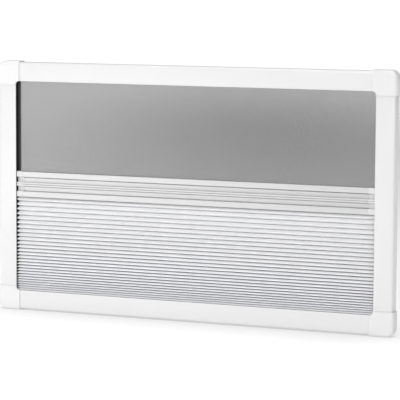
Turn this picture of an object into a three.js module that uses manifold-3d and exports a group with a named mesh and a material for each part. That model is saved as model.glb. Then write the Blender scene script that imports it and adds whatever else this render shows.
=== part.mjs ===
// Cassette blind for a window: a pleated blind below and a roller fly screen above.
// Millimetres. X runs across the window, Y from the room into the wall, and Z up.
// The origin is the middle of the box that the frame fills.
import * as THREE from 'three';
import { mergeVertices } from 'three/addons/utils/BufferGeometryUtils.js';
import Module from 'manifold-3d';

const wasm = await Module();
wasm.setup();

// Frame: four hollow profiles round the opening
const openingWidth = 820;
const openingHeight = 458;
const faceWidth = 41;
const frameDepth = 26;
const profileWall = 1.8;
const outerEdgeRadius = 6;
const lipEdgeRadius = 0.8;
const cassetteOverlap = 26; // how far the top and bottom profiles run on past the opening
const slotWidth = 6.6; // the way out of the top profile for the screen
const mouthRear = 2.9; // from the fabric's plane to the rear edge of the bottom profile's mouth

// Clearances
const seatGap = 0.3; // between a piece and what it rests on
const slideGap = 0.3; // round the tongues in their groove
const cutOverrun = 2; // how far a cut runs on past the faces that it opens
const cordGap = 0.4; // round a cord in its hole

// Corner covers
const coverSideProud = 2.5;
const coverFrontProud = 1.5;
const coverReach = 8.5; // how far a cover's arms run on past the opening's edge
const coverOuterRadius = 17;
const coverInnerRadius = 8;
const coverPocketWall = 4;

// Corner keys and their screws
const keyThickness = 6;
const keyShortLeg = 35;
const keyLongLeg = 75;
const keyCornerRadius = 12.5;
const screwShank = 3;
const screwHead = 6;
const screwHeadHeight = 1.6;
const screwLength = 13;
const screwFromLegEnd = 11;

// Fabric plane and the guide liners in the side profiles
const fabricPlane = 16.8; // behind the front face of the profiles
const grooveWidth = 5.6;
const grooveDepth = 11.6;
const linerWall = 1.4;
const linerInset = 0.4;
const linerFoot = 6;

// The two pull bars, cut from one extrusion
const meetingHeight = 4.6; // where the bars meet, above the middle of the opening
const barFront = 3.5; // behind the front face of the profiles
const barRear = 19.5;
const lipHeight = 4.2;
const recessHeight = 11.3;
const ridgeHeight = 12;
const recessDepth = 6.5;
const barWall = 1.5;
const barEdgeRadius = 1;
const keyholeSlot = 1.4;
const keyholePocket = 3.4;
const keyholeNeck = 2.2;
const keyholeDepth = 6;

// End caps of the bars
const capLength = 14.3;
const capEndGap = 0.4; // from a cap's outer face to the opening's edge
const spigotLength = 10;
const screenTongue = 8.2;
const blindTongue = 11.2;
const tongueInset = 2;

// Latch magnets and their plates
const magnetLength = 8;
const magnetDepth = 3.6;
const magnetThickness = 2;
const magnetFromFront = 1.6;

// Fly screen, its roller and the spring
const screenThickness = 0.5;
const screenEdgeInGroove = 6;
const screenOpeningsAcross = 12;
const screenOpeningsUp = 3;
const screenRib = 18;
const weltDiameter = 2.4;
const rollerAxisDepth = 12.5;
const rollerAxisRise = 20.5; // above the opening's top edge
const tubeDiameter = 12;
const tubeWall = 0.8;
const tubeEndGap = 2.5; // from the tube's end to its bracket
const windingThickness = 1.2;
const bracketThickness = 3;
const bracketFromEnd = 6.5; // from the bracket's outer face to the profile's end
const rodDiameter = 4;
const rodLength = 300;
const rodTang = 4.4;
const rodPastBracket = 3;
const collarDiameter = 8.8;
const collarLength = 4;
const plugLength = 14;
const flangeLength = 1.5;
const springWire = 1;
const springRadius = 3.6;
const springTurns = 22;
const brushBase = 4;
const brushThickness = 1;

// Pleated blind
const panelWidth = 14.8;
const blindThickness = 0.3;
const blindSideGap = 1;
const topPitch = 10.9; // between the rear folds under the bar
const sillPitch = 4.4; // and at the sill
const hiddenPleats = 8; // folded away below the sill
const clampThickness = 3.6;
const clampFront = 6.4;
const clampWidth = 11;

// Guide cords
const cordDiameter = 1;
const cordDepth = 10.3;
const outerCordInset = 75; // from the opening's edge
const anchorDiameter = 5.4;
const anchorThickness = 1.4;
const outerRunRise = 2; // of the cord's run above the floor of the bar's chamber
const middleRunRise = 6.5;
const sideCordInset = 2.4; // from the groove's bottom
const sideCordShift = 1.2; // from the fabric's plane
const hookLength = 6.5;
const hookThickness = 3;
const hookOverlap = 2.4;

// Smoothness of round stretches
const quarterSteps = 6;
const roundSides = 20;
const screwSides = 10;
const cordSides = 8;
const springSteps = 8;
const springSides = 5;
const cordSteps = 33;

// Places that follow from the sizes
const halfWidth = openingWidth / 2;
const halfHeight = openingHeight / 2;
const frontFace = coverFrontProud - (frameDepth + coverFrontProud) / 2;
const cassetteHalf = halfWidth + cassetteOverlap;
const barHeight = lipHeight + recessHeight + ridgeHeight;
const barRecess = barFront + recessDepth;
const grooveFront = fabricPlane - grooveWidth / 2;
const grooveRear = fabricPlane + grooveWidth / 2;
const capOuter = halfWidth - capEndGap;
const capInner = capOuter - capLength;
const barEnd = capInner - seatGap;
const chamberLow = lipHeight + recessHeight + barWall;
const chamberHigh = barHeight - barWall;
const chamberFront = barFront + barWall;
const chamberRear = fabricPlane - keyholePocket / 2 - barWall;
const rollerHeight = halfHeight + rollerAxisRise;
const bracketOuter = cassetteHalf - bracketFromEnd;
const bracketInner = bracketOuter - bracketThickness;
const tubeEnd = bracketInner - tubeEndGap;
const windingRadius = tubeDiameter / 2 + seatGap + windingThickness;
const screenHalf = halfWidth + screenEdgeInGroove;
const cassetteFloor = -halfHeight - faceWidth + profileWall;
const clampBottom = cassetteFloor + seatGap;
const clampTop = clampBottom + clampThickness;
const blindBarBottom = meetingHeight - seatGap / 2 - barHeight;
const tongueTop = meetingHeight - seatGap / 2 - tongueInset;
const sideCordAcross = halfWidth + linerInset + grooveDepth - sideCordInset;
const cordPlaces = { left: outerCordInset - halfWidth, middle: 0, right: halfWidth - outerCordInset };

// Materials
function finish(color, roughness, metalness) {
  return new THREE.MeshStandardMaterial({ color, roughness, metalness });
}
const whitePlastic = finish(0xf2f3f3, 0.42, 0);
const coverPlastic = finish(0xf6f6f6, 0.38, 0);
const blackPlastic = finish(0x2a2a2c, 0.6, 0);
const barAluminium = finish(0xdcdcdb, 0.45, 0.25);
const capPlastic = finish(0xe3e3e2, 0.45, 0);
const bareSteel = finish(0xa9abad, 0.35, 0.9);
const tubeAluminium = finish(0xc2c4c6, 0.4, 0.85);
const screenThread = finish(0x8f8e8c, 0.85, 0);
const blindFabric = finish(0xeff0f3, 0.8, 0);
const cordBraid = finish(0xe8e8ea, 0.8, 0);
const brushPile = finish(0x3a3a3c, 0.95, 0);

// Outlines are lists of [across, along] pairs.
function arc(across, along, radius, start, end) {
  const points = [];
  for (let step = 0; step <= quarterSteps; step += 1) {
    const angle = start + (end - start) * step / quarterSteps;
    points.push([across + radius * Math.cos(angle), along + radius * Math.sin(angle)]);
  }
  return points;
}

function box2(left, right, low, high) {
  return [[left, low], [right, low], [right, high], [left, high]];
}

function ring2(across, along, radius, sides) {
  const points = [];
  for (let side = 0; side < sides; side += 1) {
    const angle = 2 * Math.PI * (side + 0.5) / sides;
    points.push([across + radius * Math.cos(angle), along + radius * Math.sin(angle)]);
  }
  return points;
}

function roundedRectangle(halfAcross, halfAlong, radius) {
  const across = halfAcross - radius;
  const along = halfAlong - radius;
  const quarter = Math.PI / 2;
  return [
    ...arc(across, along, radius, 0, quarter),
    ...arc(-across, along, radius, quarter, 2 * quarter),
    ...arc(-across, -along, radius, 2 * quarter, 3 * quarter),
    ...arc(across, -along, radius, 3 * quarter, 4 * quarter),
  ];
}

// A shape's outline runs anticlockwise and its holes clockwise, whichever way their points came.
function wound(outline, clockwise) {
  const points = outline.map(([across, along]) => new THREE.Vector2(across, along));
  return THREE.ShapeUtils.isClockWise(points) === clockwise ? points : points.reverse();
}

function shapeOf(outline, holes = []) {
  const shape = new THREE.Shape(wound(outline, false));
  shape.holes = holes.map((hole) => new THREE.Path(wound(hole, true)));
  return shape;
}

const axisX = new THREE.Vector3(1, 0, 0);
const axisY = new THREE.Vector3(0, 1, 0);
const axisZ = new THREE.Vector3(0, 0, 1);

// An outline of [depth behind the front face, height], drawn out along X.
function alongX(outline, from, to, holes = []) {
  const options = { depth: to - from, bevelEnabled: false };
  const geometry = new THREE.ExtrudeGeometry(shapeOf(outline, holes), options);
  geometry.applyMatrix4(new THREE.Matrix4().makeBasis(axisY, axisZ, axisX));
  return geometry.translate(from, frontFace, 0);
}

// An outline of [across, depth behind the front face], drawn out along Z.
function alongZ(outline, from, to) {
  const geometry = new THREE.ExtrudeGeometry(shapeOf(outline), { depth: to - from, bevelEnabled: false });
  return geometry.translate(0, frontFace, from);
}

// An outline of [across, height], drawn out along Y between two depths behind the front face.
function alongY(outline, from, to) {
  const geometry = new THREE.ExtrudeGeometry(shapeOf(outline), { depth: to - from, bevelEnabled: false });
  const toFront = axisY.clone().negate();
  geometry.applyMatrix4(new THREE.Matrix4().makeBasis(axisX, axisZ, toFront));
  return geometry.translate(0, frontFace + to, 0);
}

// A tube of flat sides along a curve.
function tube(curve, diameter, sides, steps) {
  const shape = shapeOf(ring2(0, 0, diameter / 2, sides));
  return new THREE.ExtrudeGeometry(shape, { steps, bevelEnabled: false, extrudePath: curve });
}

// Solids, for joining and cutting
function solidOf(geometry) {
  const bare = geometry.clone();
  bare.deleteAttribute('normal');
  bare.deleteAttribute('uv');
  const merged = mergeVertices(bare);
  const vertProperties = new Float32Array(merged.attributes.position.array);
  const triVerts = new Uint32Array(merged.index.array);
  return new wasm.Manifold(new wasm.Mesh({ numProp: 3, vertProperties, triVerts }));
}

function geometryOf(solid) {
  const mesh = solid.getMesh();
  const geometry = new THREE.BufferGeometry();
  geometry.setAttribute('position', new THREE.BufferAttribute(mesh.vertProperties, mesh.numProp));
  geometry.setIndex(new THREE.BufferAttribute(mesh.triVerts, 1));
  return geometry;
}

function joined(...geometries) {
  return geometryOf(geometries.map(solidOf).reduce((whole, piece) => whole.add(piece)));
}

function cut(geometry, ...cutters) {
  const whole = solidOf(geometry);
  return geometryOf(cutters.map(solidOf).reduce((rest, cutter) => rest.subtract(cutter), whole));
}

function common(geometry, other) {
  return geometryOf(solidOf(geometry).intersect(solidOf(other)));
}

// The same piece on the other side of a plane through the origin.
function mirrored(geometry, flipX, flipZ) {
  const copy = geometry.index ? geometry.toNonIndexed() : geometry.clone();
  copy.deleteAttribute('normal');
  copy.deleteAttribute('uv');
  copy.scale(flipX ? -1 : 1, 1, flipZ ? -1 : 1);
  if (flipX !== flipZ) {
    const places = copy.attributes.position;
    for (let corner = 0; corner < places.count; corner += 3) {
      const first = new THREE.Vector3().fromBufferAttribute(places, corner);
      const last = new THREE.Vector3().fromBufferAttribute(places, corner + 2);
      places.setXYZ(corner, last.x, last.y, last.z);
      places.setXYZ(corner + 2, first.x, first.y, first.z);
    }
  }
  return copy;
}

const blind = new THREE.Group();

function add(name, geometry, material) {
  const mesh = new THREE.Mesh(geometry, material.clone());
  mesh.name = name;
  blind.add(mesh);
  return mesh;
}

// Frame profiles. An outline is [outward from the opening's edge, depth behind the front face].
function channelOutline(frontReturn, rearReturn) {
  const quarter = Math.PI / 2;
  const outerCentre = faceWidth - outerEdgeRadius;
  const rearWall = frameDepth - profileWall;
  const points = [
    ...arc(lipEdgeRadius, lipEdgeRadius, lipEdgeRadius, 2 * quarter, 3 * quarter),
    ...arc(outerCentre, outerEdgeRadius, outerEdgeRadius, -quarter, 0),
    [faceWidth, frameDepth],
    [0, frameDepth],
  ];
  if (rearReturn < rearWall) {
    points.push([0, rearReturn], [profileWall, rearReturn], [profileWall, rearWall]);
  } else {
    points.push([0, rearWall]);
  }
  points.push([faceWidth - profileWall, rearWall]);
  points.push(...arc(outerCentre, outerEdgeRadius, outerEdgeRadius - profileWall, 0, -quarter));
  if (frontReturn > profileWall) {
    points.push([profileWall, profileWall], [profileWall, frontReturn], [0, frontReturn]);
  } else {
    points.push([0, profileWall]);
  }
  return points;
}

// Where the screws enter: on the rear face, over the middle of each leg of a corner key
const keyOuterX = halfWidth + faceWidth - profileWall - seatGap;
const keyOuterZ = halfHeight + faceWidth - profileWall - seatGap;
const screwPlaces = [
  { name: 'a', across: keyOuterX - keyShortLeg + screwFromLegEnd, height: keyOuterZ - keyThickness / 2 },
  { name: 'b', across: keyOuterX - keyThickness / 2, height: keyOuterZ - keyLongLeg + screwFromLegEnd },
];
const corners = [
  { name: 'top_left', flipX: true, flipZ: false },
  { name: 'top_right', flipX: false, flipZ: false },
  { name: 'bottom_left', flipX: true, flipZ: true },
  { name: 'bottom_right', flipX: false, flipZ: true },
];

// A screw's outline, [radius, distance from the head's flat], grown by a clearance for its hole.
function screwOutline(clearance) {
  const headRadius = screwHead / 2 + clearance;
  const shankRadius = screwShank / 2 + clearance;
  const coneEnd = screwHeadHeight + clearance;
  const tip = screwLength + clearance;
  return [[0, 0], [headRadius, 0], [shankRadius, coneEnd], [shankRadius, tip - shankRadius], [0, tip]];
}

// A screw that enters from the rear, its axis along Y and its head's flat at the given depth.
function screwBody(place, headDepth, clearance) {
  const outline = screwOutline(clearance).map(([radius, along]) => new THREE.Vector2(radius, along));
  const geometry = new THREE.LatheGeometry(outline, screwSides);
  geometry.rotateX(Math.PI);
  return geometry.translate(place.across, frontFace + headDepth, place.height);
}

function screwHole(place) {
  const sunk = screwBody(place, frameDepth, seatGap);
  const mouth = ring2(place.across, place.height, screwHead / 2 + seatGap, screwSides);
  return [sunk, alongY(mouth, frameDepth - seatGap / 2, frameDepth + cutOverrun)];
}

function allScrewHoles() {
  return corners.flatMap((corner) => screwPlaces.flatMap((place) => {
    const across = corner.flipX ? -place.across : place.across;
    const height = corner.flipZ ? -place.height : place.height;
    return screwHole({ across, height });
  }));
}

function buildProfiles() {
  const slotFront = fabricPlane - slotWidth / 2;
  const slotRear = fabricPlane + slotWidth / 2;
  const toHeight = (sign) => ([outward, depth]) => [depth, sign * (halfHeight + outward)];
  const toAcross = (sign) => ([outward, depth]) => [sign * (halfWidth + outward), depth];
  const holes = allScrewHoles();
  const top = alongX(channelOutline(slotFront, slotRear).map(toHeight(1)), -cassetteHalf, cassetteHalf);
  add('top_profile', cut(top, ...holes), whitePlastic);
  const bottomOutline = channelOutline(0, fabricPlane + mouthRear).map(toHeight(-1));
  add('bottom_profile', cut(alongX(bottomOutline, -cassetteHalf, cassetteHalf), ...holes), whitePlastic);
  const sideEnd = halfHeight - seatGap;
  for (const [name, sign] of [['left_profile', -1], ['right_profile', 1]]) {
    const side = alongZ(channelOutline(0, frameDepth).map(toAcross(sign)), -sideEnd, sideEnd);
    add(name, cut(side, ...holes), whitePlastic);
  }
}

// One corner cover, at the top right: a shell that slips over the ends of two profiles.
function coverGeometry() {
  const halfAcross = halfWidth + faceWidth + coverSideProud;
  const halfAlong = halfHeight + faceWidth + coverSideProud;
  const slabShape = shapeOf(roundedRectangle(halfAcross, halfAlong, coverOuterRadius));
  const slabDepth = frameDepth + coverFrontProud;
  const slab = new THREE.ExtrudeGeometry(slabShape, {
    depth: slabDepth,
    bevelThickness: outerEdgeRadius,
    bevelSize: outerEdgeRadius,
    bevelOffset: -outerEdgeRadius,
    bevelSegments: quarterSteps,
  });
  slab.applyMatrix4(new THREE.Matrix4().makeBasis(axisX, axisZ, axisY.clone().negate()));
  slab.translate(0, frontFace - coverFrontProud + outerEdgeRadius + slabDepth, 0);
  const zone = box2(halfWidth - coverReach, halfAcross + cutOverrun, halfHeight - coverReach,
    halfAlong + cutOverrun);
  const corner = common(slab, alongY(zone, -coverFrontProud - cutOverrun, frameDepth));
  const opening = roundedRectangle(halfWidth, halfHeight, coverInnerRadius);
  const openingCut = alongY(opening, -coverFrontProud - cutOverrun, frameDepth + cutOverrun);
  const room = faceWidth + seatGap;
  const edge = outerEdgeRadius + seatGap;
  const roomOutline = [
    [-seatGap, -seatGap],
    ...arc(room - edge, edge - seatGap, edge, -Math.PI / 2, 0),
    [room, frameDepth + cutOverrun],
    [-seatGap, frameDepth + cutOverrun],
  ];
  const topRoom = alongX(roomOutline.map(([outward, depth]) => [depth, halfHeight + outward]),
    halfWidth - coverReach - cutOverrun, cassetteHalf + seatGap);
  const sideRoom = alongZ(roomOutline.map(([outward, depth]) => [halfWidth + outward, depth]),
    halfHeight - coverReach - cutOverrun, halfHeight + cutOverrun);
  const pocketOutline = roundedRectangle(halfAcross - coverPocketWall, halfAlong - coverPocketWall,
    coverOuterRadius - coverPocketWall);
  const pocketZone = box2(cassetteHalf - cutOverrun, halfAcross, halfHeight - cutOverrun, halfAlong);
  const pocket = common(alongY(pocketOutline, profileWall, frameDepth + cutOverrun),
    alongY(pocketZone, 0, frameDepth + cutOverrun));
  const webZone = box2(halfWidth - coverReach - cutOverrun, halfWidth, halfHeight - coverReach - cutOverrun,
    halfHeight);
  const behindWeb = alongY(webZone, profileWall, frameDepth + cutOverrun);
  return cut(corner, openingCut, topRoom, sideRoom, pocket, behindWeb);
}

// One corner key, at the top right: an angle that joins two profiles inside the cover.
function keyGeometry() {
  const quarter = Math.PI / 2;
  const innerX = keyOuterX - keyThickness;
  const innerZ = keyOuterZ - keyThickness;
  const outline = [
    [keyOuterX - keyShortLeg, innerZ],
    [innerX, innerZ],
    [innerX, keyOuterZ - keyLongLeg],
    [keyOuterX, keyOuterZ - keyLongLeg],
    ...arc(keyOuterX - keyCornerRadius, keyOuterZ - keyCornerRadius, keyCornerRadius, 0, quarter),
    [keyOuterX - keyShortLeg, keyOuterZ],
  ];
  const body = alongY(outline, outerEdgeRadius, frameDepth - profileWall - seatGap);
  return cut(body, ...screwPlaces.flatMap(screwHole));
}

function buildCorners() {
  const cover = coverGeometry();
  const key = keyGeometry();
  for (const corner of corners) {
    add(`corner_cover_${corner.name}`, mirrored(cover, corner.flipX, corner.flipZ), coverPlastic);
    add(`corner_key_${corner.name}`, mirrored(key, corner.flipX, corner.flipZ), blackPlastic);
    for (const place of screwPlaces) {
      const screw = screwBody(place, frameDepth - seatGap / 2, 0);
      add(`key_screw_${corner.name}_${place.name}`, mirrored(screw, corner.flipX, corner.flipZ), bareSteel);
    }
  }
}

// Guide liners: the dark channels inside the side profiles that the bars and the screen run in.
function buildLiners() {
  const front = profileWall + seatGap;
  const rear = frameDepth - profileWall - seatGap;
  const grooveEnd = linerInset + grooveDepth;
  const outline = [
    [linerInset, front],
    [linerFoot, front],
    [linerFoot, front + linerWall],
    [linerInset + linerWall, front + linerWall],
    [linerInset + linerWall, grooveFront - linerWall],
    [grooveEnd + linerWall, grooveFront - linerWall],
    [grooveEnd + linerWall, grooveRear + linerWall],
    [linerInset + linerWall, grooveRear + linerWall],
    [linerInset + linerWall, rear - linerWall],
    [linerFoot, rear - linerWall],
    [linerFoot, rear],
    [linerInset, rear],
    [linerInset, grooveRear],
    [grooveEnd, grooveRear],
    [grooveEnd, grooveFront],
    [linerInset, grooveFront],
  ];
  const end = halfHeight - seatGap;
  for (const [name, sign] of [['guide_liner_left', -1], ['guide_liner_right', 1]]) {
    const placed = outline.map(([outward, depth]) => [sign * (halfWidth + outward), depth]);
    add(name, alongZ(placed, -end, end), blackPlastic);
  }
}

// A bar's outline, [depth, height above its meeting face].
function barOutline() {
  const quarter = Math.PI / 2;
  const recessTop = lipHeight + recessHeight;
  const round = barEdgeRadius;
  const noseFront = barFront + round;
  const keyhole = [
    [fabricPlane + keyholeSlot / 2, barHeight],
    [fabricPlane + keyholeSlot / 2, barHeight - keyholeNeck],
    [fabricPlane + keyholePocket / 2 - barWall / 2, barHeight - keyholeNeck],
    [fabricPlane + keyholePocket / 2 - barWall / 2, barHeight - keyholeDepth],
    [fabricPlane - keyholePocket / 2, barHeight - keyholeDepth],
    [fabricPlane - keyholePocket / 2, barHeight - keyholeNeck],
    [fabricPlane - keyholeSlot / 2, barHeight - keyholeNeck],
    [fabricPlane - keyholeSlot / 2, barHeight],
  ];
  return [
    ...arc(noseFront, round, round, 3 * quarter, 2 * quarter),
    ...arc(noseFront, lipHeight - round, round, 2 * quarter, quarter),
    [barRecess, lipHeight],
    [barRecess, recessTop],
    ...arc(noseFront, recessTop + round, round, 3 * quarter, 2 * quarter),
    ...arc(noseFront, barHeight - round, round, 2 * quarter, quarter),
    ...keyhole.reverse(),
    [barRear, barHeight],
    [barRear, 0],
  ];
}

// Puts a bar outline above the meeting line, or upside down below it.
function placedBar(outline, sign) {
  return outline.map(([depth, height]) => [depth, meetingHeight + sign * (height + seatGap / 2)]);
}

function barGeometry(sign) {
  const rearTop = lipHeight + recessHeight - barWall;
  const rearChamber = box2(barRecess + barWall, barRear - barWall, barWall, rearTop);
  const ridgeChamber = box2(chamberFront, chamberRear, chamberLow, chamberHigh);
  const holes = [placedBar(rearChamber, sign), placedBar(ridgeChamber, sign)];
  return alongX(placedBar(barOutline(), sign), -barEnd, barEnd, holes);
}

// Holes for the guide cords through the floor of the blind bar
function cordHoles() {
  return Object.values(cordPlaces).map((across) => {
    const hole = ring2(across, cordDepth, cordDiameter / 2 + cordGap, cordSides);
    return alongZ(hole, blindBarBottom - cutOverrun, blindBarBottom + barWall + cordGap);
  });
}

// One end cap, at the right: a block of the bar's outline with a spigot and a guide tongue.
function capGeometry(sign, tongueReach, tongueHigh) {
  const block = alongX(placedBar(barOutline(), sign), capInner, capOuter);
  const spigotOutline = box2(chamberFront + seatGap, chamberRear - seatGap, chamberLow + seatGap,
    chamberHigh - seatGap);
  const spigot = alongX(placedBar(spigotOutline, sign), capInner - spigotLength, capInner + cutOverrun);
  const tongueOutline = box2(grooveFront + slideGap, grooveRear - slideGap, tongueInset,
    tongueHigh);
  const tongue = alongX(placedBar(tongueOutline, sign), capOuter - cutOverrun, halfWidth + tongueReach);
  const pocketFront = barFront + magnetFromFront;
  const pocketOutline = box2(pocketFront, pocketFront + magnetDepth + 2 * seatGap, -cutOverrun,
    magnetThickness + seatGap);
  const middle = (capInner + capOuter) / 2;
  const pocketHalf = magnetLength / 2 + seatGap;
  const pocket = alongX(placedBar(pocketOutline, sign), middle - pocketHalf, middle + pocketHalf);
  return cut(joined(block, spigot, tongue), pocket);
}

function magnetGeometry(sign) {
  const front = barFront + magnetFromFront + seatGap;
  const outline = box2(front, front + magnetDepth, 0, magnetThickness);
  const middle = (capInner + capOuter) / 2;
  return alongX(placedBar(outline, sign), middle - magnetLength / 2, middle + magnetLength / 2);
}

// A curve whose steps fall evenly between its points, so that the bends get most of them.
class RouteCurve extends THREE.CatmullRomCurve3 {
  getUtoTmapping(share) {
    return share;
  }
}

// A guide cord's route inside the blind bar: up through its floor, along its chamber to the right
// end, out through the cap and up inside the guide tongue. Points are [across, depth, height].
function barCordRoute(start, rise, shift) {
  const run = blindBarBottom + barWall + rise;
  const bend = cordDiameter * 2;
  const sideDepth = fabricPlane + shift;
  const crossing = sideCordAcross - capInner;
  const points = [
    [start, cordDepth, blindBarBottom],
    [start, cordDepth, run - bend],
    [start + bend, cordDepth, run],
    [start + 2 * bend, cordDepth, run],
    [capInner - spigotLength, cordDepth, run],
    [capInner, cordDepth, run],
    [capInner + crossing / 3, (2 * cordDepth + sideDepth) / 3, run],
    [capInner + 2 * crossing / 3, sideDepth, run],
    [sideCordAcross - bend, sideDepth, run],
    [sideCordAcross, sideDepth, run + bend],
    [sideCordAcross, sideDepth, run + 2 * bend],
    [sideCordAcross, sideDepth, tongueTop],
  ];
  return new RouteCurve(points.map(([across, depth, height]) => (
    new THREE.Vector3(across, frontFace + depth, height))), false, 'centripetal');
}
const outerRoute = barCordRoute(cordPlaces.right, outerRunRise, -sideCordShift);
const middleRoute = barCordRoute(cordPlaces.middle, middleRunRise, sideCordShift);

function buildBars() {
  const screenCap = capGeometry(1, screenTongue, barHeight - keyholeDepth - slideGap);
  const blindCap = capGeometry(-1, blindTongue, barHeight - tongueInset);
  const channel = cordDiameter + 2 * cordGap;
  const outerChannel = tube(outerRoute, channel, cordSides, cordSteps);
  const middleChannel = tube(middleRoute, channel, cordSides, cordSteps);
  add('screen_bar', barGeometry(1), barAluminium);
  add('blind_bar', cut(barGeometry(-1), ...cordHoles()), barAluminium);
  add('screen_bar_cap_left', mirrored(screenCap, true, false), capPlastic);
  add('screen_bar_cap_right', screenCap, capPlastic);
  add('blind_bar_cap_left', mirrored(cut(blindCap, outerChannel), true, false), capPlastic);
  add('blind_bar_cap_right', cut(blindCap, outerChannel, middleChannel), capPlastic);
  for (const [side, flip] of [['left', true], ['right', false]]) {
    add(`latch_magnet_${side}`, mirrored(magnetGeometry(1), flip, false), bareSteel);
    add(`latch_plate_${side}`, mirrored(magnetGeometry(-1), flip, false), bareSteel);
  }
}

// Roller, spring and brackets in the top profile
function roller2(radius) {
  return ring2(rollerAxisDepth, rollerHeight, radius, roundSides);
}

function buildRoller() {
  const tubeRadius = tubeDiameter / 2;
  const boreRadius = tubeRadius - tubeWall;
  const rodRadius = rodDiameter / 2;
  add('roller_tube', alongX(roller2(tubeRadius), -tubeEnd, tubeEnd, [roller2(boreRadius)]), tubeAluminium);
  const windingBore = roller2(tubeRadius + seatGap);
  add('screen_winding', alongX(roller2(windingRadius), -screenHalf, screenHalf, [windingBore]), screenThread);
  const low = halfHeight + profileWall + seatGap;
  const high = keyOuterZ - keyThickness - seatGap;
  const plate = box2(profileWall + seatGap, frameDepth - profileWall - seatGap, low, high);
  const half = rodTang / 2 + seatGap;
  const tangHole = box2(rollerAxisDepth - half, rollerAxisDepth + half, rollerHeight - half,
    rollerHeight + half);
  const pinHole = roller2(rodRadius + seatGap);
  add('roller_bracket_left', alongX(plate, -bracketOuter, -bracketInner, [tangHole]), whitePlastic);
  add('roller_bracket_right', alongX(plate, bracketInner, bracketOuter, [pinHole]), whitePlastic);
  const rodStart = -bracketOuter - rodPastBracket;
  const tangHalf = rodTang / 2;
  const tang = alongX(box2(rollerAxisDepth - tangHalf, rollerAxisDepth + tangHalf, rollerHeight - tangHalf,
    rollerHeight + tangHalf), rodStart, -bracketInner);
  const rod = alongX(roller2(rodRadius), rodStart, rodStart + rodLength);
  const collarEnd = rodStart + rodLength;
  const collar = alongX(roller2(collarDiameter / 2), collarEnd - collarLength, collarEnd);
  add('spring_rod', joined(tang, rod, collar), bareSteel);
  const spigotRadius = boreRadius - seatGap;
  const flangeInner = -tubeEnd - seatGap;
  const plugBore = roller2(rodRadius + seatGap);
  const flange = alongX(roller2(tubeRadius), flangeInner - flangeLength, flangeInner);
  const plug = alongX(roller2(spigotRadius), flangeInner - flangeLength, flangeInner + plugLength);
  const bore = alongX(plugBore, flangeInner - plugLength, flangeInner + 2 * plugLength);
  add('spring_plug', cut(joined(flange, plug), bore), blackPlastic);
  const idleFlange = mirrored(flange, true, false);
  const idleSpigot = mirrored(plug, true, false);
  const pin = alongX(roller2(rodRadius), tubeEnd, bracketOuter);
  add('idle_plug', joined(idleFlange, idleSpigot, pin), blackPlastic);
  add('roller_spring', springGeometry(flangeInner + plugLength + seatGap, collarEnd - collarLength - seatGap),
    bareSteel);
}

// The torsion spring round the rod: one wire, its ends straight along the rod.
function springGeometry(from, to) {
  const wireRadius = springWire / 2;
  const places = [];
  const turns = springTurns * springSteps;
  const start = from + springWire;
  const length = to - from - 2 * springWire;
  for (let step = 0; step <= turns; step += 1) {
    const angle = 2 * Math.PI * step / springSteps;
    const along = start + length * step / turns;
    const y = frontFace + rollerAxisDepth + springRadius * Math.cos(angle);
    const z = rollerHeight + springRadius * Math.sin(angle);
    places.push(new THREE.Vector3(along, y, z));
  }
  const rings = places.map((place, index) => {
    const angle = 2 * Math.PI * index / springSteps;
    const outward = new THREE.Vector3(0, Math.cos(angle), Math.sin(angle));
    const ring = [];
    for (let side = 0; side < springSides; side += 1) {
      const turn = 2 * Math.PI * side / springSides;
      const offset = outward.clone().multiplyScalar(wireRadius * Math.cos(turn));
      offset.addScaledVector(axisX, wireRadius * Math.sin(turn));
      ring.push(place.clone().add(offset));
    }
    return ring;
  });
  return ringTube(rings);
}

// A closed tube through rings of equal count, with its two ends filled.
function ringTube(rings) {
  const places = rings.flat().flatMap((place) => [place.x, place.y, place.z]);
  const sides = rings[0].length;
  const faces = [];
  for (let ring = 0; ring + 1 < rings.length; ring += 1) {
    for (let side = 0; side < sides; side += 1) {
      const a = ring * sides + side;
      const b = ring * sides + (side + 1) % sides;
      faces.push(a, a + sides, b, b, a + sides, b + sides);
    }
  }
  const last = (rings.length - 1) * sides;
  for (let side = 1; side + 1 < sides; side += 1) {
    faces.push(0, side, side + 1);
    faces.push(last, last + side + 1, last + side);
  }
  const geometry = new THREE.BufferGeometry();
  geometry.setAttribute('position', new THREE.Float32BufferAttribute(places, 3));
  geometry.setIndex(faces);
  return geometry;
}

// The mesh's holes are too fine for a solid, so a plain grid of openings stands for them.
function screenOpenings(bottom, top) {
  const width = (2 * screenHalf - screenRib) / screenOpeningsAcross - screenRib;
  const height = (top - bottom - screenRib) / screenOpeningsUp - screenRib;
  const openings = [];
  for (let column = 0; column < screenOpeningsAcross; column += 1) {
    const left = -screenHalf + screenRib + column * (width + screenRib);
    for (let row = 0; row < screenOpeningsUp; row += 1) {
      const low = bottom + screenRib + row * (height + screenRib);
      openings.push(alongY(box2(left, left + width, low, low + height), 0, frameDepth));
    }
  }
  return openings;
}

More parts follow.
